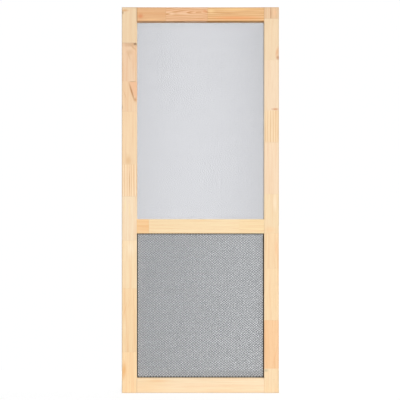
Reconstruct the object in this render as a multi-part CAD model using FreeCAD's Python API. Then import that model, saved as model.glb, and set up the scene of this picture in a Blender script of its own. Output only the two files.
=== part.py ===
"""Wooden screen door slab: a finger-jointed pine frame with two screened openings.

Millimetres. X runs across the door from the hinge edge, Y from front to back with the
middle of the thickness at 0, Z up from the door's foot. The two stiles run the full
height; three rails stand between them. Every stile and rail is glued up from short
blocks whose ends interlock in fingers, so a glue line is straight on the broad faces
and a zigzag on the narrow edges. A rebate round the back of each opening takes the
screens, which mitred stops hold against the front lip. The lower lip is the shallower one:
its grille is sealed to the lip by a bead in the corner and bedded on a tape whose inner
edge shows through it. The woven screens and the diamond grille are drawn as coarse lattices
with the open share of the real ones.
"""
import FreeCAD
import Part

import os

from FreeCAD import Vector

# Overall slab
DOOR_HEIGHT = 2032.0
DOOR_WIDTH = 828.7
DOOR_THICKNESS = 28.6

# Frame members, measured on the front face
STILE_WIDTH = 78.6
TOP_RAIL_WIDTH = 73.4
MID_RAIL_WIDTH = 74.5
BOTTOM_RAIL_WIDTH = 77.5
MID_RAIL_HEIGHT = 840.5
EASED_EDGE = 1.5
OUTER_EDGE_ROUND = 2.5

# Rebate on the back of each opening
UPPER_LIP_DEPTH = 22.5
LOWER_LIP_DEPTH = 14.0
REBATE_WIDTH = 12.0

# Screens, the grille's bead and bedding tape, and the stops that hold them
SCREEN_THICKNESS = 0.6
GRILLE_THICKNESS = 1.6
SCREEN_EDGE_GAP = 1.0
BEDDING_THICKNESS = 1.0
BEDDING_REACH = 5.0
BEAD_SIDE_WIDTH = 3.7
BEAD_END_WIDTH = 0.9
BEAD_DEPTH = 2.0
STOP_CLEARANCE = 0.3
STOP_ROUND = 4.0

# Coarse lattices: numbers of openings across and up, and the share of a cell's sides that is open
UPPER_MESH_COUNT = (10, 15)
LOWER_MESH_COUNT = (6, 7)
GRILLE_COUNT = (6, 8)
MESH_OPEN_SIDE = 0.81
GRILLE_OPEN_SIDE = 0.67

# Finger joints
FINGER_LENGTH = 10.0
FINGER_PITCH = 5.7
FINGER_TIP = 0.9

# Glue lines, as shares of a member's length from the foot of a stile or the hinge end of a rail
LEFT_STILE_JOINTS = (0.1063, 0.2717, 0.3962, 0.5098, 0.5925, 0.7298, 0.8076, 0.9075)
RIGHT_STILE_JOINTS = (0.0635, 0.1890, 0.3233, 0.4144, 0.5162, 0.6496, 0.7323, 0.8632, 0.9705)
TOP_RAIL_JOINTS = (0.2307, 0.5573)
MID_RAIL_JOINTS = (0.0966, 0.8045)
BOTTOM_RAIL_JOINTS = ()

# Planes that several pieces share
FRONT = -DOOR_THICKNESS / 2
BACK = DOOR_THICKNESS / 2
UPPER_LIP_BACK = FRONT + UPPER_LIP_DEPTH
LOWER_LIP_BACK = FRONT + LOWER_LIP_DEPTH
LATCH_STILE_X = DOOR_WIDTH - STILE_WIDTH
TOP_RAIL_Z = DOOR_HEIGHT - TOP_RAIL_WIDTH
MID_RAIL_TOP = MID_RAIL_HEIGHT + MID_RAIL_WIDTH

ALONG_X = Vector(1, 0, 0)
ALONG_Y = Vector(0, 1, 0)
ALONG_Z = Vector(0, 0, 1)


class Span:
    """A rectangle in the plane of the door, such as an opening seen from the front."""

    def __init__(self, left, bottom, right, top):
        self.left = left
        self.bottom = bottom
        self.right = right
        self.top = top

    def grown(self, sides, ends=None):
        """The rectangle with its sides moved outwards, and its ends by their own margin if one is given."""
        if ends is None:
            ends = sides
        return Span(self.left - sides, self.bottom - ends, self.right + sides, self.top + ends)

    def outline(self, depth):
        """The rectangle's closed outline at a depth."""
        corners = [
            Vector(self.left, depth, self.bottom),
            Vector(self.right, depth, self.bottom),
            Vector(self.right, depth, self.top),
            Vector(self.left, depth, self.top),
        ]
        return Part.makePolygon(corners + corners[:1])

    def slab(self, near, far):
        """A plain sheet over the rectangle, from one depth to another."""
        corner = Vector(self.left, near, self.bottom)
        return Part.makeBox(self.right - self.left, far - near, self.top - self.bottom, corner)


UPPER_OPENING = Span(STILE_WIDTH, MID_RAIL_TOP, LATCH_STILE_X, TOP_RAIL_Z)
LOWER_OPENING = Span(STILE_WIDTH, BOTTOM_RAIL_WIDTH, LATCH_STILE_X, MID_RAIL_HEIGHT)


def rounded_face(corners):
    """Flat face inside a closed outline of right-angled corners, each given as (point, radius)."""
    edges = []
    starts = []
    ends = []
    count = len(corners)
    for index, (point, radius) in enumerate(corners):
        before = (corners[index - 1][0] - point).normalize()
        after = (corners[(index + 1) % count][0] - point).normalize()
        starts.append(point + before * radius)
        ends.append(point + after * radius)
        if radius > 0:
            centre = point + (before + after) * radius
            middle = centre + (point - centre).normalize() * radius
            edges.append(Part.Arc(starts[-1], middle, ends[-1]).toShape())
    for index in range(count):
        edges.append(Part.LineSegment(ends[index], starts[(index + 1) % count]).toShape())
    return Part.Face(Part.Wire(Part.__sortEdges__(edges)))


def stile(outer, inner):
    """Full-height stile from its outer edge to its inner edge."""
    corners = [
        (Vector(outer, FRONT, 0), OUTER_EDGE_ROUND),
        (Vector(inner, FRONT, 0), EASED_EDGE),
        (Vector(inner, BACK, 0), 0),
        (Vector(outer, BACK, 0), OUTER_EDGE_ROUND),
    ]
    return rebated(rounded_face(corners).extrude(ALONG_Z * DOOR_HEIGHT))


def rail(bottom, top):
    """Rail between the stiles, with its back edge eased where it is the door's own edge."""
    corners = [
        (Vector(STILE_WIDTH, FRONT, bottom), EASED_EDGE),
        (Vector(STILE_WIDTH, FRONT, top), EASED_EDGE),
        (Vector(STILE_WIDTH, BACK, top), EASED_EDGE if top == DOOR_HEIGHT else 0),
        (Vector(STILE_WIDTH, BACK, bottom), EASED_EDGE if bottom == 0 else 0),
    ]
    return rebated(rounded_face(corners).extrude(ALONG_X * (LATCH_STILE_X - STILE_WIDTH)))


def rebated(member):
    """Cut the rebates of both openings out of the back of a member, as far as they reach it."""
    upper = UPPER_OPENING.grown(REBATE_WIDTH).slab(UPPER_LIP_BACK, DOOR_THICKNESS)
    lower = LOWER_OPENING.grown(REBATE_WIDTH).slab(LOWER_LIP_BACK, DOOR_THICKNESS)
    return member.cut(upper).cut(lower)


def finger_line(place, along):
    """Points of one finger joint from front to back: blunt teeth cut down from the glue line."""
    count = max(1, round(DOOR_THICKNESS / FINGER_PITCH))
    pitch = DOOR_THICKNESS / count
    points = [along * place + ALONG_Y * (FRONT - FINGER_PITCH)]
    for tooth in range(count):
        near = FRONT + tooth * pitch
        for depth, drop in (
            (near + FINGER_TIP / 2, 0),
            (near + (pitch - FINGER_TIP) / 2, FINGER_LENGTH),
            (near + (pitch + FINGER_TIP) / 2, FINGER_LENGTH),
            (near + pitch - FINGER_TIP / 2, 0),
        ):
            points.append(along * (place - drop) + ALONG_Y * depth)
    points.append(along * place + ALONG_Y * (BACK + FINGER_PITCH))
    return points


def flat_end(place, along):
    """Points of a square-cut end from front to back."""
    return [along * place + ALONG_Y * depth for depth in (FRONT - FINGER_PITCH, BACK + FINGER_PITCH)]


def blocks_of(member, along, across, joints):
    """Cut a member into its finger-jointed blocks, in order along its length."""
    box = member.BoundBox
    low = along.dot(Vector(box.XMin, 0, box.ZMin))
    high = along.dot(Vector(box.XMax, 0, box.ZMax))
    near = across.dot(Vector(box.XMin, 0, box.ZMin))
    width = across.dot(Vector(box.XLength, 0, box.ZLength))
    ends = [flat_end(low, along)]
    ends += [finger_line(low + share * (high - low), along) for share in joints]
    ends.append(flat_end(high, along))
    pieces = []
    for lower, upper in zip(ends, ends[1:]):
        outline = lower + upper[::-1]
        wire = Part.makePolygon([point + across * near for point in outline + outline[:1]])
        pieces.append(member.common(Part.Face(wire).extrude(across * width)))
    return pieces


def stop_strips(opening, depth):
    """The four mitred stops of an opening, from the given depth to the back of the door.

    Each strip is a length of one moulding, rounded on the back edge beside the opening
    and cut at 45 degrees where it meets its neighbours.
    """
    outer = opening.grown(REBATE_WIDTH - STOP_CLEARANCE)
    outer_corners = [
        Vector(outer.left, depth, outer.bottom),
        Vector(outer.right, depth, outer.bottom),
        Vector(outer.right, depth, outer.top),
        Vector(outer.left, depth, outer.top),
    ]
    inner_corners = [
        Vector(opening.left, depth, opening.bottom),
        Vector(opening.right, depth, opening.bottom),
        Vector(opening.right, depth, opening.top),
        Vector(opening.left, depth, opening.top),
    ]
    strips = {}
    for side, name in enumerate(("bottom", "right", "top", "left")):
        following = (side + 1) % 4
        start = outer_corners[side]
        run = outer_corners[following] - start
        inwards = run.cross(ALONG_Y).normalize()
        width = inwards * (REBATE_WIDTH - STOP_CLEARANCE)
        thickness = ALONG_Y * (BACK - depth)
        moulding = rounded_face([
            (start, 0),
            (start + width, 0),
            (start + width + thickness, STOP_ROUND),
            (start + thickness, 0),
        ]).extrude(run)
        plan = [start, outer_corners[following], inner_corners[following], inner_corners[side], start]
        mitre = Part.Face(Part.makePolygon(plan)).extrude(thickness)
        strips[name] = moulding.common(mitre)
    return strips


def corner_bead(opening, depth):
    """Bead with a sloping face, in the corner of an opening's lip and a sheet at the given depth."""
    front = depth - BEAD_DEPTH
    foot = opening.grown(-BEAD_SIDE_WIDTH, -BEAD_END_WIDTH)
    hollow = Part.makeLoft([opening.outline(front), foot.outline(depth)], True)
    return opening.slab(front, depth).cut(hollow)


def square_openings(region, count, depth):
    """Outlines of a plain grid of openings, each in the middle of its cell of a rectangle."""
    columns, rows = count
    wide = (region.right - region.left) / columns
    high = (region.top - region.bottom) / rows
    bar_share = (MESH_OPEN_SIDE - 1) / 2
    openings = []
    for column in range(columns):
        for row in range(rows):
            left = region.left + column * wide
            bottom = region.bottom + row * high
            cell = Span(left, bottom, left + wide, bottom + high)
            openings.append(cell.grown(bar_share * wide, bar_share * high).outline(depth))
    return openings


def diamond_openings(region, count, depth):
    """Outlines of a staggered field of diamonds: rows of whole cells, and a row between each two."""
    columns, rows = count
    half_wide = (region.right - region.left) / columns / 2
    half_high = (region.top - region.bottom) / rows / 2
    tip_x = ALONG_X * half_wide * GRILLE_OPEN_SIDE
    tip_z = ALONG_Z * half_high * GRILLE_OPEN_SIDE
    openings = []
    for across in range(1, 2 * columns):
        for up in range(2 - across % 2, 2 * rows, 2):
            centre = Vector(region.left + across * half_wide, depth, region.bottom + up * half_high)
            corners = [centre + tip_x, centre + tip_z, centre - tip_x, centre - tip_z]
            openings.append(Part.makePolygon(corners + corners[:1]))
    return openings


def lattice(sheet, openings, thickness):
    """Sheet of a thickness behind a rectangle's outline, with openings through it."""
    return Part.makeFace([sheet] + openings, "Part::FaceMakerBullseye").extrude(ALONG_Y * thickness)


def name_blocks(nodes, member, pieces):
    """Store a member's blocks under numbered names, or under its own name where it is one piece."""
    for number, piece in enumerate(pieces, start=1):
        nodes[f"{member}_block_{number}" if len(pieces) > 1 else member] = piece


def door():
    """All the pieces of the door by name."""
    nodes = {}
    left = stile(0, STILE_WIDTH)
    right = stile(DOOR_WIDTH, LATCH_STILE_X)
    top = rail(TOP_RAIL_Z, DOOR_HEIGHT)
    mid = rail(MID_RAIL_HEIGHT, MID_RAIL_TOP)
    bottom = rail(0, BOTTOM_RAIL_WIDTH)
    name_blocks(nodes, "left_stile", blocks_of(left, ALONG_Z, ALONG_X, LEFT_STILE_JOINTS))
    name_blocks(nodes, "right_stile", blocks_of(right, ALONG_Z, ALONG_X, RIGHT_STILE_JOINTS))
    name_blocks(nodes, "top_rail", blocks_of(top, ALONG_X, ALONG_Z, TOP_RAIL_JOINTS))
    name_blocks(nodes, "mid_rail", blocks_of(mid, ALONG_X, ALONG_Z, MID_RAIL_JOINTS))
    name_blocks(nodes, "bottom_rail", blocks_of(bottom, ALONG_X, ALONG_Z, BOTTOM_RAIL_JOINTS))

    screen_margin = REBATE_WIDTH - SCREEN_EDGE_GAP
    upper_back = UPPER_LIP_BACK + SCREEN_THICKNESS
    grille_back = LOWER_LIP_BACK + GRILLE_THICKNESS
    bedding_back = grille_back + BEDDING_THICKNESS
    lower_back = bedding_back + SCREEN_THICKNESS
    upper_sheet = UPPER_OPENING.grown(screen_margin)
    lower_sheet = LOWER_OPENING.grown(screen_margin)
    lower_clear = LOWER_OPENING.grown(-BEDDING_REACH)
    upper_mesh = square_openings(UPPER_OPENING, UPPER_MESH_COUNT, UPPER_LIP_BACK)
    diamonds = diamond_openings(lower_clear, GRILLE_COUNT, LOWER_LIP_BACK)
    lower_mesh = square_openings(lower_clear, LOWER_MESH_COUNT, bedding_back)
    nodes["upper_screen"] = lattice(upper_sheet.outline(UPPER_LIP_BACK), upper_mesh, SCREEN_THICKNESS)
    nodes["pet_grille"] = lattice(lower_sheet.outline(LOWER_LIP_BACK), diamonds, GRILLE_THICKNESS)
    nodes["grille_bead"] = corner_bead(LOWER_OPENING, LOWER_LIP_BACK)
    nodes["grille_bedding"] = lattice(
        lower_sheet.outline(grille_back), [lower_clear.outline(grille_back)], BEDDING_THICKNESS)
    nodes["lower_screen"] = lattice(lower_sheet.outline(bedding_back), lower_mesh, SCREEN_THICKNESS)
    for side, strip in stop_strips(UPPER_OPENING, upper_back).items():
        nodes[f"upper_stop_{side}"] = strip
    for side, strip in stop_strips(LOWER_OPENING, lower_back).items():
        nodes[f"lower_stop_{side}"] = strip
    return nodes


def main():
    """Write each piece to its own file."""
    os.makedirs("parts", exist_ok=True)
    for name, shape in door().items():
        shape.exportStep(f"parts/{name}.step")


main()
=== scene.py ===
"""Looks of a bare pine screen door: finger-jointed timber, woven screens and a diamond pet grille.

Metres, in the frame of the construction model: X across the door from the hinge edge, Y from
the front face to the back, Z up from the door's foot.
"""

import logging
import math
from dataclasses import dataclass
from enum import Enum
from typing import Any, Mapping, Sequence

import bpy
import numpy as np
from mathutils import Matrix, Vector

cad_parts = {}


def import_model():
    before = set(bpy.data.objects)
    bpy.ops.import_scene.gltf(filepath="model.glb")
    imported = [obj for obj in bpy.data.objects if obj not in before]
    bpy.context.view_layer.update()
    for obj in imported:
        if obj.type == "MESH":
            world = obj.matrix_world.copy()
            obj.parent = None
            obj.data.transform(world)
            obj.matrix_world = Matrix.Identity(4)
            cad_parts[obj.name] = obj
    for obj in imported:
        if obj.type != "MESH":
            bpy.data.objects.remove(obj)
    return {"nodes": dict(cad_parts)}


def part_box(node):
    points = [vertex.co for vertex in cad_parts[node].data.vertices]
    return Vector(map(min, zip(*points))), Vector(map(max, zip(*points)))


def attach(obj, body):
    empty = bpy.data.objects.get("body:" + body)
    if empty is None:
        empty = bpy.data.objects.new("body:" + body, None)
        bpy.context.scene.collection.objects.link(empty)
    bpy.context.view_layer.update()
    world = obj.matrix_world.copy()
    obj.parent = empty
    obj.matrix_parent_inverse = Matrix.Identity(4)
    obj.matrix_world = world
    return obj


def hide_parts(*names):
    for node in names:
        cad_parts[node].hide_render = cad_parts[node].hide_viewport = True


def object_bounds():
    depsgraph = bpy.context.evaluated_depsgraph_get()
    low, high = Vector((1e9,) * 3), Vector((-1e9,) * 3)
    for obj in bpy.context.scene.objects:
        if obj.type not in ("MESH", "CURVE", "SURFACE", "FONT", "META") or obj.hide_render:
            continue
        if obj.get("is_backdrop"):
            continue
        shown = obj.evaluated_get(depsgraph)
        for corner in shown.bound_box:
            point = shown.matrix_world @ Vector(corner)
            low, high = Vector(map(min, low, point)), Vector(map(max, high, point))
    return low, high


Tree = bpy.types.NodeTree
Socket = bpy.types.NodeSocket
Material = bpy.types.Material
Object = bpy.types.Object
Nodes = Mapping[str, Object]
Box = tuple[Vector, Vector]
Pair = tuple[float, float]
Colour = tuple[float, float, float, float]

LOG = logging.getLogger("screen_door")
MM = 0.001
INCH_MM = 25.4
BODY = "root"
WHITE: Colour = (1.0, 1.0, 1.0, 1.0)
RECTANGLE = np.array([[0, 1, 2, 3]])

# Sockets of the colour mix node, which share their names with its other kinds
MIX_FACTOR = 0
MIX_A = 6
MIX_B = 7
MIX_RESULT = 2

# Corners of a wire's section
SECTION = 4

# Features of pine in millimetres across, through and along the grain
BROAD_MM = (13.0, 13.0, 380.0)
DRIFT_MM = (40.0, 40.0, 300.0)

# Real fibres and resin canals are too fine to show in the render, so these are drawn coarser
FIBRE_MM = (3.2, 3.2, 130.0)
FLECK_MM = (1.8, 1.8, 26.0)

# Shift of the noises from one seed to the next
NOISE_STEP = (3.1, 1.7, 2.3)
DRIFT_STEP = (5.3, 2.9, 4.1)

# Years of growth: how many they wander, how fast, and where in a year late wood comes and goes
UNEVEN_YEARS = 3.0
UNEVEN_RATE = 0.21
LATE_RISE = (0.3, 0.9)
LATE_FALL = (1.0, 0.92)

# Marks on the wood: where the cover ends in half sizes, and how far the fibre breaks that edge
MARK_EDGE = 1.45
MARK_BREAK = 0.9

# Painted shade on the outer arrises: distances from the edge where it starts and is full, cover and colour
ARRIS_SHADE_MM = (7.0, 1.0)
ARRIS_SHADE_COVER = 0.48
ARRIS_SHADE_CODE = "#B09A80"

# Glue lines: share of the half width that is full, depth of the broad faces, and colour
GLUE_CORE = 0.3
FACE_DEPTH_MM = 13.4
GLUE_CODE = "#7A4E2A"


def linear(code: str) -> Colour:
    """Turn an sRGB hex code into a linear colour.

    The darkest values follow a straight line, the others a power of 2.4 after a small shift.

    Args:
        code: six hex digits after a hash sign.

    Returns:
        Linear red, green and blue, and an alpha of 1.
    """
    values = np.array([int(code[i:i + 2], 16) for i in (1, 3, 5)]) / 255
    low = values / 12.92
    high = ((values + 0.055) / 1.055) ** 2.4
    red, green, blue = np.where(values <= 0.04045, low, high)
    return float(red), float(green), float(blue), 1.0


def grey(level: float) -> Colour:
    """Linear grey of one level."""
    return level, level, level, 1.0


def add(tree: Tree, kind: str, inputs: Mapping[Any, Any] | None = None,
        **settings: Any) -> bpy.types.Node:
    """Add a shader node with its settings, values and links.

    Args:
        tree: node tree that gets the node.
        kind: node type without the ShaderNode prefix.
        inputs: socket name or index to a value, or to an output socket that is linked in.
        settings: properties of the node.

    Returns:
        The new node.
    """
    node = tree.nodes.new("ShaderNode" + kind)
    for name, value in settings.items():
        setattr(node, name, value)
    for key, value in (inputs or {}).items():
        if isinstance(value, Socket):
            tree.links.new(value, node.inputs[key])
        else:
            node.inputs[key].default_value = value
    return node


def new_material(name: str) -> tuple[Material, Tree]:
    """Start an empty node material.

    Args:
        name: material name.

    Returns:
        The material and its node tree.
    """
    material = bpy.data.materials.new(name)
    material.use_nodes = True
    material.node_tree.nodes.clear()
    return material, material.node_tree


def mesh_piece(name: str, points: np.ndarray, quads: np.ndarray, material: Material) -> Object:
    """Make an object at the origin from point and quad arrays.

    Args:
        name: object name.
        points: (n, 3) places in metres.
        quads: (m, 4) point numbers, anticlockwise seen from outside.
        material: finish of all faces.

    Returns:
        The linked object.
    """
    mesh = bpy.data.meshes.new(name)
    mesh.from_pydata(points.tolist(), [], quads.tolist())
    mesh.materials.append(material)
    mesh.validate()
    piece = bpy.data.objects.new(name, mesh)
    bpy.context.scene.collection.objects.link(piece)
    return piece


def dress(node: Object, material: Material) -> None:
    """Give a construction node one finish.

    Args:
        node: construction node, which keeps its shape.
        material: the finish.
    """
    node.data.materials.clear()
    node.data.materials.append(material)
    LOG.info("dressed %s in %s", node.name, material.name)


class PineTone(Enum):
    """Colours of the pine blocks, as early wood and late wood."""

    CREAM = ("#FBE3BF", "#F2CD9E")
    BLUSH = ("#F8E3C4", "#ECCCA6")
    STRAW = ("#F9DDB6", "#EFC68F")
    WHEAT = ("#F6DCBA", "#E4BB8D")
    SAND = ("#EBD3B0", "#D6AE80")
    TAN = ("#EDCDAB", "#D5A67B")
    PEACH = ("#FAD3A6", "#F0B981")
    HONEY = ("#E6BA90", "#CF955E")
    AMBER = ("#E6BE8E", "#CF985C")
    PALE = ("#FEE6C5", "#F9D6AA")


class Grain(Enum):
    """Direction of the wood's length, as the turn that carries local Z onto it."""

    UPRIGHT = (0.0, 0.0, 0.0)
    LEVEL = (0.0, math.pi / 2, 0.0)


@dataclass(frozen=True)
class Mark:
    """A knot, streak or stain on the face of a block, as a soft ellipse.

    Attributes:
        at_mm: centre across and up the door.
        half_mm: half width and half height before turning.
        code: sRGB hex colour.
        strength: cover at the centre, 0 to 1.
        turn_deg: turn about the depth axis, clockwise seen from the front.
        soft: share of the half sizes over which the cover falls off.
    """

    at_mm: Pair
    half_mm: Pair
    code: str
    strength: float
    turn_deg: float = 0.0
    soft: float = 1.0


@dataclass(frozen=True)
class Pine:
    """Bare planed pine: rings of pale early wood and orange late wood round a distant pith.

    The rings are cylinders about the pith line, bent by slow noise, so a face shows straight
    lines where it is cut across the rings and long arches where it only grazes them.

    Attributes:
        tone: colour pair of the block.
        ring_mm: width of a year's growth, or of several that show as one.
        pith_mm: pith line's place across and through the block, from its centre.
        lean_deg: slope of the pith line to the block's length, through and across.
        bend_mm: how far slow noise bends the rings.
        contrast: strength of the late wood.
        streak: strength of the broad warm streaks.
        tint: shares of the tone's red, green and blue: the block's own hue, with painted shade on the
            right stile.
        seam: darkness of the glue lines at the lower or hinge end and at the other end.
        seam_mm: half width of the glue lines with their squeezed-out edge, wide enough to show.
        seed: offset of every noise.
        marks: knots and streaks.
    """

    tone: PineTone
    ring_mm: float = 3.4
    pith_mm: Pair = (90.0, 60.0)
    lean_deg: Pair = (0.6, 0.3)
    bend_mm: float = 7.0
    contrast: float = 0.5
    streak: float = 0.3
    tint: tuple[float, float, float] = (1.0, 1.0, 1.0)
    seam: Pair = (0.0, 0.0)
    seam_mm: float = 1.8
    seed: float = 0.0
    marks: tuple[Mark, ...] = ()

    def material(self, name: str, grain: Grain, centre: Vector, door: Box,
                 ends_mm: Pair = (0.0, 0.0)) -> Material:
        """Build the timber of one block.

        Args:
            name: block name, used for the material.
            grain: direction of the block's length.
            centre: middle of the block in metres.
            door: lowest and highest corner of the whole door.
            ends_mm: places of the glue lines, along the grain from the centre.

        Returns:
            The material.
        """
        material, tree = new_material(f"planed_pine_{name}")
        place = add(tree, "TexCoord").outputs["Object"]
        board = add(tree, "Mapping", {"Vector": place, "Location": centre, "Rotation": grain.value,
                                      "Scale": (MM, MM, MM)}, vector_type="TEXTURE").outputs[0]
        late = self._late_wood(tree, board)
        broad = self._noise(tree, board, BROAD_MM, detail=3.0)
        fibre = self._noise(tree, board, FIBRE_MM, detail=4.0)
        fleck = self._noise(tree, board, FLECK_MM, detail=1.0)
        colour = self._timber_colour(tree, late, broad, fibre, fleck)
        covers = [(self._mark_cover(tree, place, fibre, mark), mark.code) for mark in self.marks]
        covers += [(self._seam_cover(tree, board, end, strength), GLUE_CODE)
                   for end, strength in zip(ends_mm, self.seam) if strength > 0]
        # Painted shade darkens the wood towards the door's outer edges
        covers.append((self._arris_shade_cover(tree, place, door), ARRIS_SHADE_CODE))
        for cover, code in covers:
            colour = add(tree, "Mix", {MIX_FACTOR: cover, MIX_A: colour, MIX_B: linear(code)},
                         data_type="RGBA").outputs[MIX_RESULT]
        rough = add(tree, "MapRange", {"Value": fibre, "From Min": 0.3, "From Max": 0.7,
                                       "To Min": 0.5, "To Max": 0.68}).outputs[0]
        height = add(tree, "Math", {0: late, 1: fibre}, operation="SUBTRACT").outputs[0]
        bump = add(tree, "Bump", {"Strength": 0.25, "Distance": 0.12 * MM, "Height": height}).outputs[0]
        shader = add(tree, "BsdfPrincipled", {"Base Color": colour, "Roughness": rough, "IOR": 1.5,
                                              "Specular IOR Level": 0.3, "Normal": bump})
        add(tree, "OutputMaterial", {"Surface": shader.outputs[0]})
        return material

    def _noise(self, tree: Tree, board: Socket, size_mm: Sequence[float], detail: float) -> Socket:
        """Make noise that is drawn out along the grain.

        Args:
            tree: node tree of the material.
            board: place in the block's own millimetres, with Z along the grain.
            size_mm: size of its features across, through and along the grain.
            detail: octaves of finer noise.

        Returns:
            A socket from 0 to 1.
        """
        scale = tuple(1 / size for size in size_mm)
        offset = tuple(self.seed * step for step in NOISE_STEP)
        vector = add(tree, "Mapping", {"Vector": board, "Location": offset, "Scale": scale})
        return add(tree, "TexNoise", {"Vector": vector.outputs[0], "Scale": 1.0, "Detail": detail,
                                      "Roughness": 0.6}).outputs["Fac"]

    def _late_wood(self, tree: Tree, board: Socket) -> Socket:
        """Share of late wood: a saw-tooth of the bent distance from the pith line.

        Args:
            tree: node tree of the material.
            board: place in the block's own millimetres, with Z along the grain.

        Returns:
            A socket that is 0 in early wood and 1 in the late-wood line.
        """
        offset = tuple(self.seed * step for step in DRIFT_STEP)
        scale = tuple(1 / size for size in DRIFT_MM)
        slow = add(tree, "Mapping", {"Vector": board, "Location": offset, "Scale": scale}).outputs[0]
        drift = add(tree, "TexNoise", {"Vector": slow, "Scale": 1.0, "Detail": 2.0}).outputs["Color"]
        drift = add(tree, "VectorMath", {0: drift, 1: (0.5, 0.5, 0.5)}, operation="SUBTRACT").outputs[0]
        drift = add(tree, "VectorMath", {0: drift, "Scale": self.bend_mm}, operation="SCALE").outputs[0]
        bent = add(tree, "VectorMath", {0: board, 1: drift}, operation="ADD").outputs[0]
        lean = tuple(math.radians(angle) for angle in self.lean_deg) + (0.0,)
        pith = add(tree, "Mapping", {"Vector": bent, "Location": (*self.pith_mm, 0.0),
                                     "Rotation": lean}).outputs[0]
        flat = add(tree, "VectorMath", {0: pith, 1: (1.0, 1.0, 0.0)}, operation="MULTIPLY").outputs[0]
        radius = add(tree, "VectorMath", {0: flat}, operation="LENGTH").outputs["Value"]
        years = add(tree, "Math", {0: radius, 1: self.ring_mm}, operation="DIVIDE").outputs[0]
        slow_years = add(tree, "Math", {0: years, 1: UNEVEN_RATE}, operation="MULTIPLY").outputs[0]
        uneven = add(tree, "TexNoise", {"W": slow_years, "Scale": 1.0, "Detail": 1.0},
                     noise_dimensions="1D").outputs["Fac"]
        years = add(tree, "Math", {0: uneven, 1: UNEVEN_YEARS, 2: years},
                    operation="MULTIPLY_ADD").outputs[0]
        phase = add(tree, "Math", {0: years}, operation="FRACT").outputs[0]
        rise, fall = (
            add(tree, "MapRange", {"Value": phase, "From Min": start, "From Max": stop},
                interpolation_type="SMOOTHSTEP").outputs[0]
            for start, stop in (LATE_RISE, LATE_FALL))
        return add(tree, "Math", {0: rise, 1: fall}, operation="MULTIPLY").outputs[0]

    def _timber_colour(self, tree: Tree, late: Socket, broad: Socket, fibre: Socket,
                       fleck: Socket) -> Socket:
        """Mix the block's colours by ring, streak, fibre and fleck.

        Args:
            tree: node tree of the material.
            late: share of late wood.
            broad: slow noise along the grain.
            fibre: fine noise along the grain.
            fleck: short noise for resin canals.

        Returns:
            The colour socket.
        """
        tint = np.array(self.tint)
        early, dark = ((*np.minimum(tint * linear(code)[:3], 1.0), 1.0) for code in self.tone.value)
        share = add(tree, "Math", {0: late, 1: self.contrast}, operation="MULTIPLY").outputs[0]
        colour = add(tree, "Mix", {MIX_FACTOR: share, MIX_A: early, MIX_B: dark},
                     data_type="RGBA").outputs[MIX_RESULT]
        # Each layer's noise, the levels where its cover starts and is full, its cover, colour and blend
        layers = (
            (broad, 0.46, 0.72, self.streak, "#F0CA9A", "MULTIPLY"),
            (fibre, 0.50, 0.80, 0.30, "#DDAD78", "MULTIPLY"),
            (fleck, 0.70, 0.82, 0.35, "#BE8450", "MIX"),
        )
        for noise, low, high, strength, code, blend in layers:
            share = add(tree, "MapRange", {"Value": noise, "From Min": low, "From Max": high,
                                           "To Max": strength}).outputs[0]
            colour = add(tree, "Mix", {MIX_FACTOR: share, MIX_A: colour, MIX_B: linear(code)},
                         data_type="RGBA", blend_type=blend).outputs[MIX_RESULT]
        return colour

    @staticmethod
    def _mark_cover(tree: Tree, place: Socket, fibre: Socket, mark: Mark) -> Socket:
        """Cover of one mark, which falls off with the distance from an ellipse's centre.

        Args:
            tree: node tree of the material.
            place: object coordinates.
            fibre: fine grain that breaks up the mark's edge.
            mark: the mark.

        Returns:
            A socket from 0 to the mark's strength.
        """
        across, up = (value * MM for value in mark.at_mm)
        wide, high = (value * MM for value in mark.half_mm)
        local = add(tree, "Mapping", {"Vector": place, "Location": (across, 0.0, up),
                                      "Rotation": (0.0, math.radians(mark.turn_deg), 0.0),
                                      "Scale": (wide, 1.0, high)}, vector_type="TEXTURE").outputs[0]
        reach = add(tree, "VectorMath", {0: local}, operation="LENGTH").outputs["Value"]
        reach = add(tree, "Math", {0: fibre, 1: MARK_BREAK, 2: reach}, operation="MULTIPLY_ADD").outputs[0]
        return add(tree, "MapRange", {"Value": reach, "From Min": MARK_EDGE,
                                      "From Max": MARK_EDGE - mark.soft, "To Max": mark.strength},
                   interpolation_type="SMOOTHSTEP").outputs[0]

    @staticmethod
    def _arris_shade_cover(tree: Tree, place: Socket, door: Box) -> Socket:
        """Cover of the painted shade on the door's outer arrises, which darkens the wood at the rounded
        edges.

        It grows in a straight line as the distance from the nearest outer edge shrinks.

        Args:
            tree: node tree of the material.
            place: object coordinates.
            door: lowest and highest corner of the whole door.

        Returns:
            A socket from 0 inside to the full cover at the edge.
        """
        low, high = door
        start, full = ARRIS_SHADE_MM
        away = add(tree, "VectorMath", {0: place, 1: (low + high) / 2}, operation="SUBTRACT").outputs[0]
        away = add(tree, "VectorMath", {0: away}, operation="ABSOLUTE").outputs[0]
        inside = add(tree, "VectorMath", {0: (high - low) / 2, 1: away}, operation="SUBTRACT").outputs[0]
        parts = add(tree, "SeparateXYZ", {0: inside}).outputs
        nearest = add(tree, "Math", {0: parts["X"], 1: parts["Z"]}, operation="MINIMUM").outputs[0]
        return add(tree, "MapRange", {"Value": nearest, "From Min": start * MM, "From Max": full * MM,
                                      "To Max": ARRIS_SHADE_COVER}).outputs[0]

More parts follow.
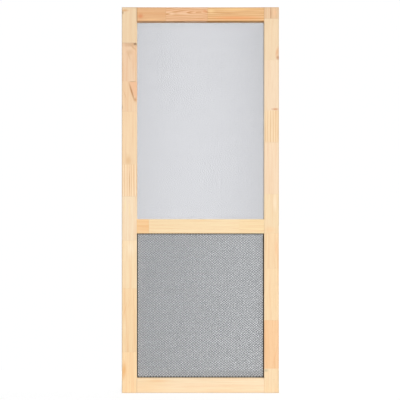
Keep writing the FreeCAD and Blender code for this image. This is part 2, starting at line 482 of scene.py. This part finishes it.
    def _seam_cover(self, tree: Tree, board: Socket, end: float, strength: float) -> Socket:
        """Cover of the glue line at one end of a block, on the broad faces only.

        Args:
            tree: node tree of the material.
            board: place in the block's own millimetres.
            end: place of the glue line along the grain.
            strength: cover in the middle of the line.

        Returns:
            A socket from 0 to the line's strength.
        """
        parts = add(tree, "SeparateXYZ", {0: board}).outputs
        away = add(tree, "Math", {0: parts["Z"], 1: end}, operation="SUBTRACT").outputs[0]
        away = add(tree, "Math", {0: away}, operation="ABSOLUTE").outputs[0]
        line = add(tree, "MapRange", {"Value": away, "From Min": self.seam_mm,
                                      "From Max": GLUE_CORE * self.seam_mm, "To Max": strength}).outputs[0]
        depth = add(tree, "Math", {0: parts["Y"]}, operation="ABSOLUTE").outputs[0]
        face = add(tree, "Math", {0: depth, 1: FACE_DEPTH_MM}, operation="GREATER_THAN").outputs[0]
        return add(tree, "Math", {0: line, 1: face}, operation="MULTIPLY").outputs[0]


@dataclass(frozen=True)
class CoatedMetal:
    """Powder-coated or painted metal: an even satin colour with a fine mottle of the coat.

    Attributes:
        name: common name of the coated metal.
        code: sRGB hex colour.
        worn_code: colour of the thin spots in the coat.
        roughness: middle roughness of the coat.
        mottle_mm: size of the coat's mottle.
        spread: how far the mottle changes the roughness.
    """

    name: str
    code: str
    worn_code: str
    roughness: float
    mottle_mm: float
    spread: float = 0.06

    def material(self) -> Material:
        """Build the coat.

        Returns:
            The material.
        """
        material, tree = new_material(self.name)
        place = add(tree, "TexCoord").outputs["Object"]
        mottle = add(tree, "TexNoise", {"Vector": place, "Scale": 1 / (self.mottle_mm * MM),
                                        "Detail": 2.0}).outputs["Fac"]
        share = add(tree, "MapRange", {"Value": mottle, "From Min": 0.4, "From Max": 0.7}).outputs[0]
        colour = add(tree, "Mix", {MIX_FACTOR: share, MIX_A: linear(self.code),
                                   MIX_B: linear(self.worn_code)}, data_type="RGBA").outputs[MIX_RESULT]
        rough = add(tree, "MapRange", {"Value": mottle, "From Min": 0.3, "From Max": 0.7,
                                       "To Min": self.roughness - self.spread,
                                       "To Max": self.roughness + self.spread}).outputs[0]
        shader = add(tree, "BsdfPrincipled", {"Base Color": colour, "Roughness": rough, "IOR": 1.5})
        add(tree, "OutputMaterial", {"Surface": shader.outputs[0]})
        return material


@dataclass(frozen=True)
class MattRubber:
    """Black closed-cell foam or sealant: a dull skin that scatters almost all of its little light.

    Attributes:
        name: common name of the material.
        code: sRGB hex colour.
        roughness: roughness of the skin.
        pore_mm: size of the skin's pores.
    """

    name: str
    code: str
    roughness: float
    pore_mm: float

    def material(self) -> Material:
        """Build the skin.

        Returns:
            The material.
        """
        material, tree = new_material(self.name)
        place = add(tree, "TexCoord").outputs["Object"]
        pores = add(tree, "TexNoise", {"Vector": place, "Scale": 1 / (self.pore_mm * MM),
                                       "Detail": 1.0}).outputs["Fac"]
        bump = add(tree, "Bump", {"Strength": 0.4, "Distance": 0.1 * MM, "Height": pores}).outputs[0]
        shader = add(tree, "BsdfPrincipled", {"Base Color": linear(self.code), "Roughness": self.roughness,
                                              "Specular IOR Level": 0.25, "Normal": bump})
        add(tree, "OutputMaterial", {"Surface": shader.outputs[0]})
        return material


@dataclass
class TimberFrame:
    """The stiles and rails: every finger-jointed block of the construction model in its own pine.

    Attributes:
        blocks: block name to its timber.
        finger_mm: length of the joints' fingers, which reach below a block's face.
    """

    blocks: dict[str, Pine]
    finger_mm: float = 10.0

    def dress(self, nodes: Nodes) -> None:
        """Give each block its timber.

        Args:
            nodes: construction nodes by name.
        """
        for name, pine in self.blocks.items():
            low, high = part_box(name)
            upright = "stile" in name
            grain = Grain.UPRIGHT if upright else Grain.LEVEL
            half = (high.z - low.z if upright else high.x - low.x) / 2 / MM
            first = name.endswith(("block_1", "rail"))
            hidden = 0.0 if first else self.finger_mm
            ends = (hidden - half, half)
            dress(nodes[name], pine.material(name, grain, (low + high) / 2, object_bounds(), ends))


@dataclass
class ScreenStops:
    """The mitred strips on the back, in plain straight-grained pine, with flush brad heads along them.

    Attributes:
        openings: names of the two openings.
        first_seed: seed of the first strip's noise.
        brad_gap_mm: greatest distance between brads.
        brad_end_mm: distance of the outer brads from a strip's ends.
        brad_mm: half width of a brad's head with its bruised rim.
        brad_code: sRGB hex colour of a brad's head.
    """

    openings: tuple[str, ...] = ("upper", "lower")
    first_seed: float = 40.0
    brad_gap_mm: float = 180.0
    brad_end_mm: float = 40.0
    brad_mm: float = 1.5
    brad_code: str = "#6E675F"

    def dress(self, nodes: Nodes) -> None:
        """Give each strip its timber.

        Args:
            nodes: construction nodes by name.
        """
        sides = {"bottom": Grain.LEVEL, "right": Grain.UPRIGHT, "top": Grain.LEVEL, "left": Grain.UPRIGHT}
        for row, opening in enumerate(self.openings):
            for column, (side, grain) in enumerate(sides.items()):
                name = f"{opening}_stop_{side}"
                low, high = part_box(name)
                pine = Pine(PineTone.WHEAT, pith_mm=(40.0, 30.0), contrast=0.4,
                            seed=self.first_seed + row * len(sides) + column,
                            marks=self._brads(low / MM, high / MM, grain))
                dress(nodes[name], pine.material(name, grain, (low + high) / 2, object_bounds()))

    def _brads(self, low: Vector, high: Vector, grain: Grain) -> tuple[Mark, ...]:
        """Evenly spaced steel brad heads along the middle of a strip.

        Args:
            low: lowest corner of the strip in millimetres.
            high: highest corner of the strip in millimetres.
            grain: direction of the strip's length.

        Returns:
            One mark for each brad.
        """
        start, stop = (low.z, high.z) if grain is Grain.UPRIGHT else (low.x, high.x)
        run = stop - start - 2 * self.brad_end_mm
        along = np.linspace(start + self.brad_end_mm, stop - self.brad_end_mm,
                            math.ceil(run / self.brad_gap_mm) + 1)
        middle = (low + high) / 2
        places = [(middle.x, at) if grain is Grain.UPRIGHT else (at, middle.z) for at in along]
        half = (self.brad_mm, self.brad_mm)
        return tuple(Mark(place, half, self.brad_code, strength=0.9, soft=0.5) for place in places)


@dataclass
class GrilleSeal:
    """The bead in the corner of the lower lip and the tape behind the grille.

    Attributes:
        skins: node name to its rubber.
    """

    skins: dict[str, MattRubber]

    def dress(self, nodes: Nodes) -> None:
        """Give the bead and the tape their rubber.

        Args:
            nodes: construction nodes by name.
        """
        for name, rubber in self.skins.items():
            dress(nodes[name], rubber.material())


@dataclass
class WovenScreen:
    """Insect screen of straight wires, 18 by 16 to the inch, the level wires behind the upright ones.

    Attributes:
        node: construction node that the screen stands for.
        finish: coat of the wires.
        slot: the record's name for that coat; not used.
        wire_mm: thickness of a wire.
        across_mm: spacing of the upright wires.
        up_mm: spacing of the level wires.
    """

    node: str
    finish: CoatedMetal
    slot: str
    wire_mm: float
    across_mm: float = INCH_MM / 18
    up_mm: float = INCH_MM / 16

    def build(self) -> Object:
        """Weave the screen inside the box of its node.

        Returns:
            The piece, riding on the door.
        """
        low, high = (np.array(corner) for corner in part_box(self.node))
        half = self.wire_mm * MM / 2
        upright = self._wires(low, high, step_axis=0, run_axis=2, pitch=self.across_mm * MM,
                              depth=low[1] + half)
        level = self._wires(low, high, step_axis=2, run_axis=0, pitch=self.up_mm * MM,
                            depth=high[1] - half)
        points = np.concatenate([upright[0], level[0]])
        quads = np.concatenate([upright[1], level[1] + len(upright[0])])
        piece = mesh_piece(f"{self.node}_wires", points, quads, self.finish.material())
        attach(piece, BODY)
        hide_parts(self.node)
        LOG.info("wove %s with %d wires", piece.name, len(points) // (2 * SECTION))
        return piece

    def _wires(self, low: np.ndarray, high: np.ndarray, step_axis: int, run_axis: int,
               pitch: float, depth: float) -> tuple[np.ndarray, np.ndarray]:
        """Parallel wires: a square section on its corner, carried straight along each wire's line.

        Args:
            low: lowest corner of the screen.
            high: highest corner of the screen.
            step_axis: axis along which the wires are spaced.
            run_axis: axis along which they run.
            pitch: spacing.
            depth: depth of the wires' centres.

        Returns:
            Points and quads.
        """
        half = self.wire_mm * MM / 2
        count = int((high[step_axis] - low[step_axis] - 2 * half) / pitch)
        spread = (high[step_axis] - low[step_axis] - count * pitch) / 2
        lines = low[step_axis] + spread + pitch * np.arange(count + 1)
        ring = np.arange(SECTION)
        turn = ring * math.pi / 2
        points = np.zeros((len(lines), 2, SECTION, 3))
        points[..., step_axis] = lines[:, None, None] + half * np.cos(turn)
        points[..., 1] = depth + half * np.sin(turn)
        points[:, 0, :, run_axis] = low[run_axis]
        points[:, 1, :, run_axis] = high[run_axis]
        following = (ring + 1) % SECTION
        sides = np.stack([ring, following, following + SECTION, ring + SECTION], axis=1)
        shape = np.concatenate([sides, [ring[::-1], ring + SECTION]])
        if step_axis == 2:
            shape = shape[:, ::-1]
        quads = shape[None] + 2 * SECTION * np.arange(len(lines))[:, None, None]
        return points.reshape(-1, 3), quads.reshape(-1, 4)


@dataclass
class PetGrille:
    """Heavy diamond grille: one plate of crowned strands with a staggered field of diamond holes.

    Attributes:
        node: construction node that the grille stands for.
        finish: coat of the metal.
        cell_mm: width and height of a diamond from strand to strand.
        strand_mm: width of a strand.
        crown_mm: rise of a strand's middle above its edges.
        shift_mm: how far the rows stand above the middle of the grille.
    """

    node: str
    finish: CoatedMetal
    cell_mm: Pair = (15.6, 12.95)
    strand_mm: float = 3.3
    crown_mm: float = 0.45
    shift_mm: float = 1.9

    def build(self) -> Object:
        """Lay whole diamonds inside the box of the node.

        Returns:
            The piece, riding on the door.
        """
        low, high = (np.array(corner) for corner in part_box(self.node))
        centres, cell = self._diamonds(high - low)
        points, quads = self._plate(centres, cell, high[1] - low[1])
        points += np.array([(low[0] + high[0]) / 2, low[1], (low[2] + high[2]) / 2 + self.shift_mm * MM])
        piece = mesh_piece(f"{self.node}_strands", points, quads, self.finish.material())
        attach(piece, BODY)
        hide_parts(self.node)
        LOG.info("laid %s with %d diamonds", piece.name, len(centres))
        return piece

    def _diamonds(self, size: np.ndarray) -> tuple[np.ndarray, np.ndarray]:
        """Centres of the staggered diamonds, in half cells from the middle of the grille.

        They are the points whose two whole numbers, across and up, add up to an odd one.

        Args:
            size: extent of the grille.

        Returns:
            Integer centres (n, 2), and the half width and half height of a cell in metres.
        """
        cell = np.array(self.cell_mm) * MM / 2
        reach = ((size[[0, 2]] / 2 - (0.0, self.shift_mm * MM)) // cell).astype(int)
        across, up = np.meshgrid(np.arange(-reach[0] + 1, reach[0]), np.arange(-reach[1] + 1, reach[1]))
        staggered = (across + up) % 2 == 1
        return np.stack([across[staggered], up[staggered]], axis=1), cell

    def _plate(self, centres: np.ndarray, cell: np.ndarray, thick: float) -> tuple[np.ndarray, np.ndarray]:
        """Plate round the diamonds, front and back.

        Each diamond is a ring from the strands' middle line in to the hole, whose edge lies deeper
        by the crown. Neighbouring rings share the points of the middle line, and walls close the
        sides of the outermost ones.

        Args:
            centres: diamond centres in half cells.
            cell: half width and half height of a cell.
            thick: thickness of the plate.

        Returns:
            Points and quads.
        """
        corner = np.array([[1, 0], [0, 1], [-1, 0], [0, -1]])
        apothem = cell[0] * cell[1] / math.hypot(*cell)
        open_share = 1 - self.strand_mm * MM / 2 / apothem
        crown = self.crown_mm * MM
        keys = (centres[:, None, :] + corner).reshape(-1, 2)
        knots, outer = np.unique(keys, axis=0, return_inverse=True)
        outer = outer.reshape(-1, 4)
        inner = (centres[:, None, :] + open_share * corner).reshape(-1, 2)
        flat = np.concatenate([knots, inner]) * cell
        rise = np.concatenate([np.zeros(len(knots)), np.full(len(inner), crown)])
        front = np.stack([flat[:, 0], rise, flat[:, 1]], axis=1)
        back = np.stack([flat[:, 0], thick - rise, flat[:, 1]], axis=1)
        total = len(flat)
        hole = len(knots) + np.arange(len(inner)).reshape(-1, 4)
        outer_next = np.roll(outer, -1, axis=1)
        hole_next = np.roll(hole, -1, axis=1)
        face = np.stack([outer, outer_next, hole_next, hole], axis=-1).reshape(-1, 4)
        wall = np.stack([hole, hole_next, hole_next + total, hole + total], axis=-1).reshape(-1, 4)
        rear = face[:, ::-1] + total
        edges = np.stack([outer, outer_next], axis=-1).reshape(-1, 2)
        ends = np.sort(edges, axis=1)
        same, counts = np.unique(ends, axis=0, return_inverse=True, return_counts=True)[1:]
        rim = edges[counts[same.reshape(-1)] == 1]
        side = np.stack([rim[:, 1], rim[:, 0], rim[:, 0] + total, rim[:, 1] + total], axis=-1)
        return np.concatenate([front, back]), np.concatenate([face, wall, rear, side])


@dataclass(frozen=True)
class Sheet:
    """A sheet of white paper hung behind one opening.

    Attributes:
        name: object name.
        heights: lower and upper edge.
        spot: place across and up where it is lit the most.
        spans: distances across and up at which the extra light ends.
        gain: extra light at the spot.
    """

    name: str
    heights: Pair
    spot: Pair
    spans: Pair
    gain: float


@dataclass(frozen=True)
class Lamp:
    """A square area lamp that faces the middle of the door.

    Attributes:
        name: object name.
        at: place.
        size: length of a side.
        power: light in watts.
    """

    name: str
    at: tuple[float, float, float]
    size: float
    power: float


@dataclass
class Studio:
    """White sweep, soft key lamp from the upper right, and the camera square to the door.

    Attributes:
        view_mm: height of the view at the front of the door.
        lens_mm: focal length.
        sensor_mm: width of the camera's sensor.
        aim_mm: point of the door in the middle of the view, across and up.
        sky: strength of the soft light from all round.
        sky_colour: linear colour of that light.
        paper: reflectance of floor and sheets.
        floor_depths: near and far edge of the floor.
        floor_half: half width of the floor and of the sheets.
        floor_shade: reflectance of the floor as it is seen, which carries the shadow.
        floor_lift: glow of the floor as it is seen, at the door and at the far edge.
        sheet_depth: depth of the sheets.
        sheet_colour: linear colour of the light on the sheets.
        sheets: sheets behind the two openings.
        lamps: lamps in front of the door.
    """

    view_mm: float = 2106.0
    lens_mm: float = 41.0
    sensor_mm: float = 36.0
    aim_mm: Pair = (412.2, 1016.6)
    sky: float = 0.34
    sky_colour: Colour = (0.962, 0.995, 1.01, 1.0)
    paper: float = 0.8
    floor_depths: Pair = (-7.0, 0.3)
    floor_half: float = 4.0
    floor_shade: float = 0.15
    floor_lift: Pair = (0.87, 1.08)
    sheet_depth: float = 0.9
    sheet_colour: Colour = (1.0, 1.003, 1.024, 1.0)
    sheets: tuple[Sheet, ...] = (
        Sheet("upper_sheet", heights=(0.83, 4.0), spot=(0.395, 1.05), spans=(0.56, 2.3), gain=0.225),
        Sheet("lower_sheet", heights=(-0.5, 0.83), spot=(1.40, -0.7), spans=(1.50, 2.7), gain=0.72),
    )
    lamps: tuple[Lamp, ...] = (
        Lamp("key_lamp", at=(6.0, -12.4, 8.2), size=5.2, power=1420.0),
        Lamp("side_lamp", at=(10.4, -3.2, 4.2), size=4.0, power=460.0),
    )

    def build(self, front: float) -> None:
        """Set the stage.

        Args:
            front: depth of the door's front face.
        """
        aim = Vector((self.aim_mm[0] * MM, 0.0, self.aim_mm[1] * MM))
        self._world()
        self._floor()
        for sheet in self.sheets:
            self._sheet(sheet)
        for lamp in self.lamps:
            self._lamp(lamp, aim)
        self._camera(front, aim)

    def _world(self) -> None:
        """Even white surroundings: soft light on the object, plain white to the eye."""
        world = bpy.data.worlds.new("white_surroundings")
        world.use_nodes = True
        tree = world.node_tree
        tree.nodes.clear()
        glow = add(tree, "Background", {"Color": self.sky_colour, "Strength": self.sky})
        white = add(tree, "Background", {"Color": WHITE, "Strength": 1.0})
        mix = add(tree, "MixShader", {0: self._seen(tree), 1: glow.outputs[0], 2: white.outputs[0]})
        add(tree, "OutputWorld", {"Surface": mix.outputs[0]})
        bpy.context.scene.world = world

    @staticmethod
    def _seen(tree: Tree) -> Socket:
        """Tell the rays by which the surroundings are seen, directly or in gloss and glass.

        Args:
            tree: node tree that gets the nodes.

        Returns:
            A socket that is 1 for those rays and 0 for all others.
        """
        path = add(tree, "LightPath").outputs
        seen = add(tree, "Math", {0: path["Is Camera Ray"], 1: path["Is Glossy Ray"]},
                   operation="MAXIMUM").outputs[0]
        return add(tree, "Math", {0: seen, 1: path["Is Transmission Ray"]}, operation="MAXIMUM").outputs[0]

    def _corners(self, low: float, high: float) -> list[Pair]:
        """Corners of a rectangle as wide as the stage, anticlockwise from the lower left."""
        half = self.floor_half
        return [(-half, low), (half, low), (half, high), (-half, high)]

    def _floor(self) -> None:
        """Lay a pale paper floor that keeps a shadow and is lit up to white towards its far edge."""
        material, tree = new_material("white_paper_floor")
        place = add(tree, "TexCoord").outputs["Object"]
        depth = add(tree, "SeparateXYZ", {0: place}).outputs["Y"]
        near_lift, far_lift = self.floor_lift
        level = add(tree, "MapRange", {"Value": depth, "From Min": 0.0, "From Max": self.floor_depths[1],
                                       "To Min": near_lift, "To Max": far_lift}).outputs[0]
        paper = add(tree, "BsdfDiffuse", {"Color": grey(self.paper)})
        shaded = add(tree, "BsdfDiffuse", {"Color": grey(self.floor_shade)})
        lift = add(tree, "Emission", {"Color": WHITE, "Strength": level})
        lit = add(tree, "AddShader", {0: shaded.outputs[0], 1: lift.outputs[0]})
        mix = add(tree, "MixShader", {0: self._seen(tree), 1: paper.outputs[0], 2: lit.outputs[0]})
        add(tree, "OutputMaterial", {"Surface": mix.outputs[0]})
        points = np.array([[x, y, 0.0] for x, y in self._corners(*self.floor_depths)])
        floor = mesh_piece("studio_floor", points, RECTANGLE, material)
        floor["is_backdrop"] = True

    def _sheet(self, sheet: Sheet) -> None:
        """Hang white paper behind the door, hotter round one spot, that only shows from the front.

        The light falls off from the spot as one less the square of the distance in spans.

        Args:
            sheet: the sheet.
        """
        material, tree = new_material(f"white_paper_{sheet.name}")
        across, up = sheet.spot
        wide, high = sheet.spans
        place = add(tree, "TexCoord").outputs["Object"]
        local = add(tree, "Mapping", {"Vector": place, "Location": (across, self.sheet_depth, up),
                                      "Scale": (wide, 1.0, high)}, vector_type="TEXTURE").outputs[0]
        square = add(tree, "VectorMath", {0: local, 1: local}, operation="DOT_PRODUCT").outputs["Value"]
        heat = add(tree, "Math", {0: 1.0, 1: square}, operation="SUBTRACT", use_clamp=True).outputs[0]
        level = add(tree, "Math", {0: heat, 1: sheet.gain, 2: 1.0}, operation="MULTIPLY_ADD").outputs[0]
        lit = add(tree, "Emission", {"Color": self.sheet_colour, "Strength": level}).outputs[0]
        paper = add(tree, "BsdfDiffuse", {"Color": grey(self.paper)}).outputs[0]
        front = add(tree, "MixShader", {0: self._seen(tree), 1: paper, 2: lit}).outputs[0]
        clear = add(tree, "BsdfTransparent").outputs[0]
        behind = add(tree, "NewGeometry").outputs["Backfacing"]
        mix = add(tree, "MixShader", {0: behind, 1: front, 2: clear})
        add(tree, "OutputMaterial", {"Surface": mix.outputs[0]})
        points = np.array([[x, self.sheet_depth, z] for x, z in self._corners(*sheet.heights)])
        mesh_piece(sheet.name, points, RECTANGLE, material)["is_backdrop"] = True

    @staticmethod
    def _lamp(lamp: Lamp, aim: Vector) -> None:
        """Hang a lamp.

        Args:
            lamp: the lamp.
            aim: point that it faces.
        """
        light = bpy.data.lights.new(lamp.name, "AREA")
        light.size = lamp.size
        light.energy = lamp.power
        holder = bpy.data.objects.new(lamp.name, light)
        holder.location = lamp.at
        holder.rotation_euler = (aim - Vector(lamp.at)).to_track_quat("-Z", "Y").to_euler()
        bpy.context.scene.collection.objects.link(holder)

    def _camera(self, front: float, aim: Vector) -> None:
        """Stand the camera square to the door, where its lens takes in the view's height.

        Args:
            front: depth of the door's front face.
            aim: point in the middle of the view.
        """
        data = bpy.data.cameras.new("door_camera")
        data.lens = self.lens_mm
        data.sensor_width = self.sensor_mm
        camera = bpy.data.objects.new("door_camera", data)
        distance = self.view_mm * MM * self.lens_mm / self.sensor_mm
        camera.location = (aim.x, front - distance, aim.z)
        camera.rotation_euler = (math.pi / 2, 0.0, 0.0)
        bpy.context.scene.collection.objects.link(camera)
        bpy.context.scene.camera = camera


def frame_timber() -> TimberFrame:
    """Choose the timber of every block, from the foot of a stile up and the hinge end of a rail on.

    Returns:
        The stiles and rails.
    """
    tone = PineTone
    # Tints hold each block's own hue and painted shade: the right stile's are lower, where the lamps light
    # more
    return TimberFrame({
        "left_stile_block_1": Pine(
            tone.STRAW, seed=1, tint=(1.050, 1.028, 0.991), seam=(0.0, 0.1), marks=(
                Mark((12, 118), (17, 70), "#EDAE68", 0.75, 4),)),
        "left_stile_block_2": Pine(
            tone.STRAW, seed=2, tint=(0.996, 0.976, 0.942), lean_deg=(0.6, 5.0), seam=(0.0, 0.1), marks=(
                Mark((16, 345), (16, 70), "#FAE2BC", 0.5),
                Mark((18, 440), (5, 55), "#EBB47C", 0.5, 14),
                Mark((36, 462), (4, 45), "#EFBF8A", 0.45, 15))),
        "left_stile_block_3": Pine(
            tone.CREAM, seed=3, tint=(0.982, 0.970, 0.945), lean_deg=(0.6, 6.0), seam=(0.0, 0.15), marks=(
                Mark((46, 765), (28, 60), "#FDECD0", 0.5),)),
        "left_stile_block_4": Pine(
            tone.BLUSH, seed=4, tint=(0.993, 0.977, 0.963), seam=(0.0, 0.2), marks=(
                Mark((18, 985), (5, 45), "#F8E3A8", 0.5, 3),
                Mark((42, 960), (5, 60), "#F8E0A6", 0.5, -3))),
        "left_stile_block_5": Pine(
            tone.WHEAT, seed=5, tint=(1.032, 1.035, 1.039), ring_mm=13.0, pith_mm=(260.0, 40.0),
            bend_mm=5.0, contrast=0.9, seam=(0.0, 0.1), marks=(
                Mark((40, 1115), (3.6, 100), "#CB9058", 0.7),)),
        "left_stile_block_6": Pine(
            tone.WHEAT, seed=6, tint=(0.983, 0.957, 0.919), streak=0.2, seam=(0.0, 0.15), marks=(
                Mark((34, 1224), (26, 40), "#DDAE78", 0.55),)),
        "left_stile_block_7": Pine(
            tone.SAND, seed=7, tint=(1.063, 1.002, 0.998), marks=(
                Mark((88, 1603.5), (40, 150), "#EBB992", 0.85, -22, 0.25),
                Mark((52, 1588), (8, 76), "#B87848", 0.95, -17),
                Mark((72, 1545), (9, 16), "#C07A48", 0.75, -15),
                Mark((15, 1575), (4, 48), "#D2A06C", 0.4, -20),
                Mark((2, 1505), (6, 15), "#A98A68", 0.6),
                Mark((60, 1640), (27, 2.6), "#9A6C44", 0.7, 0, 0.8))),
        "left_stile_block_8": Pine(
            tone.TAN, seed=8, tint=(1.021, 1.035, 1.066), seam=(0.0, 0.55), seam_mm=2.6, marks=(
                Mark((48, 1834), (64, 18), "#BA8A60", 0.5),
                Mark((42, 1794), (26, 26), "#D4A67C", 0.5),
                Mark((72, 1838), (15, 9), "#6E4A2C", 0.85),
                Mark((64, 1816), (5, 30), "#B88556", 0.55, -48),
                Mark((38, 1775), (7, 44), "#D6AA80", 0.5, -20))),
        "left_stile_block_9": Pine(
            tone.SAND, seed=9, tint=(1.005, 0.982, 0.974), contrast=0.35, streak=0.15, marks=(
                Mark((16, 2015), (30, 10), "#D39B62", 0.7),
                Mark((4, 2003), (11, 15), "#96714A", 0.65))),
        "right_stile_block_1": Pine(
            tone.CREAM, seed=11, tint=(0.965, 0.955, 0.928), marks=(
                Mark((759, 119), (18, 12), "#C4AC8C", 0.6),)),
        "right_stile_block_2": Pine(
            tone.PEACH, seed=12, tint=(0.968, 0.949, 0.946), seam=(0.0, 0.1), marks=(
                Mark((808, 195), (4, 60), "#EDA878", 0.4, 12),)),
        "right_stile_block_3": Pine(tone.CREAM, seed=13, tint=(0.952, 0.910, 0.852), seam=(0.0, 0.1)),
        "right_stile_block_4": Pine(
            tone.STRAW, seed=14, tint=(0.957, 0.950, 0.949), seam=(0.0, 0.1), marks=(
                Mark((814, 764), (9, 78), "#F0B484", 0.5),)),
        "right_stile_block_5": Pine(
            tone.CREAM, seed=15, tint=(0.911, 0.907, 0.887), seam=(0.0, 0.15), marks=(
                Mark((806, 1000), (16, 70), "#FBE6CC", 0.5),
                Mark((782, 858), (48, 34), "#F2C08A", 0.4))),
        "right_stile_block_6": Pine(
            tone.BLUSH, seed=16, tint=(0.937, 0.889, 0.876), streak=0.2, seam=(0.0, 0.15)),
        "right_stile_block_7": Pine(
            tone.WHEAT, seed=17, tint=(0.960, 0.963, 0.937), ring_mm=10.5, pith_mm=(260.0, 40.0),
            bend_mm=9.0, contrast=0.9),
        "right_stile_block_8": Pine(
            tone.BLUSH, seed=18, tint=(0.905, 0.869, 0.858), streak=0.2, seam=(0.0, 0.1), marks=(
                Mark((808, 1495), (27, 9), "#C87E4A", 0.75),)),
        "right_stile_block_9": Pine(
            tone.WHEAT, seed=19, tint=(0.890, 0.892, 0.872), contrast=0.35, streak=0.2, seam=(0.0, 0.25),
            marks=(
                Mark((819, 1795), (13, 40), "#D69768", 0.65, 8),
                Mark((824, 1766), (15, 17), "#AE683E", 0.8))),
        "right_stile_block_10": Pine(
            tone.TAN, seed=20, tint=(0.917, 0.910, 0.868), marks=(
                Mark((785, 2000), (5, 70), "#B0673C", 0.75),
                Mark((806, 2004), (16, 30), "#F0BC8E", 0.4))),
        "top_rail_block_1": Pine(
            tone.HONEY, seed=21, tint=(0.977, 0.939, 0.875), seam=(0.75, 0.1), seam_mm=4.5, marks=(
                Mark((99, 1985), (20, 20), "#D87C4C", 0.6),
                Mark((160, 1968), (70, 8), "#F2C68E", 0.5))),
        "top_rail_block_2": Pine(
            tone.HONEY, seed=22, tint=(1.033, 1.054, 1.125), ring_mm=8.0, pith_mm=(4.0, 20.0),
            lean_deg=(7.0, 3.0), bend_mm=18.0, contrast=1.0, seam=(0.0, 0.3), marks=(
                Mark((262, 1998), (26, 13), "#F6D2AE", 0.6),
                Mark((438, 2012), (16, 10), "#D8854E", 0.5))),
        "top_rail_block_3": Pine(
            tone.AMBER, seed=23, tint=(0.993, 0.972, 0.940), ring_mm=12.0, pith_mm=(240.0, 40.0),
            bend_mm=6.0, contrast=1.0, seam=(0.0, 0.4), marks=(
                Mark((470, 2012), (30, 15), "#F6D29A", 0.6),
                Mark((600, 2020), (210, 11), "#F3C98A", 0.55),
                Mark((600, 1976), (200, 15), "#E8945A", 0.6),
                Mark((560, 1998), (80, 2.6), "#B06A34", 0.6),
                Mark((650, 2012), (110, 2.4), "#C07A40", 0.5))),
        "mid_rail_block_1": Pine(tone.PEACH, seed=24, tint=(0.966, 0.956, 0.881), seam=(0.1, 0.1)),
        "mid_rail_block_2": Pine(tone.CREAM, seed=25, tint=(0.959, 0.959, 0.910), seam=(0.0, 0.05)),
        "mid_rail_block_3": Pine(tone.CREAM, seed=26, tint=(0.945, 0.924, 0.831), seam=(0.0, 0.1)),
        "bottom_rail": Pine(
            tone.PALE, seed=27, tint=(0.978, 0.982, 0.969), seam=(0.45, 0.12), seam_mm=3.0, marks=(
                Mark((130, 40), (190, 70), "#F7CE92", 0.3),
                Mark((190, 64), (85, 11), "#F3BE86", 0.45))),
    })


def main() -> None:
    """Load the construction model, dress it and set the stage."""
    logging.basicConfig(level=logging.INFO, format="%(name)s: %(message)s")
    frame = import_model()
    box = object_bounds()
    nodes = frame["nodes"]
    bpy.context.scene.view_settings.view_transform = "Standard"
    for stray in [o for o in bpy.context.scene.objects if o.type in ("CAMERA", "LIGHT")]:
        bpy.data.objects.remove(stray)
    # Satin coats give soft, broad highlights, and the rubbers show as dull dark lines
    wire = CoatedMetal("charcoal_coated_wire", "#454B59", "#525868", roughness=0.5, mottle_mm=1.2)
    heavy_wire = CoatedMetal("grey_coated_heavy_wire", "#999CA0", "#A3A6AA", roughness=0.5, mottle_mm=1.2)
    grille = CoatedMetal("grey_coated_expanded_metal", "#8C8E90", "#97999B", roughness=0.45, mottle_mm=2.5)
    tape = MattRubber("black_foam_tape", "#1C1B1A", roughness=0.9, pore_mm=0.8)
    bead = MattRubber("black_sealant", "#16130F", roughness=0.75, pore_mm=1.5)
    frame_timber().dress(nodes)
    GrilleSeal({"grille_bedding": tape, "grille_bead": bead}).dress(nodes)
    ScreenStops().dress(nodes)
    # Real wires of about 0.28 mm would hardly show, so both screens have thicker ones
    WovenScreen("upper_screen", wire, "screen_wire", wire_mm=0.395).build()
    WovenScreen("lower_screen", heavy_wire, "grey_wire", wire_mm=0.705).build()
    PetGrille("pet_grille", grille).build()
    Studio().build(box[0].y)


if __name__ == "__main__":
    main()
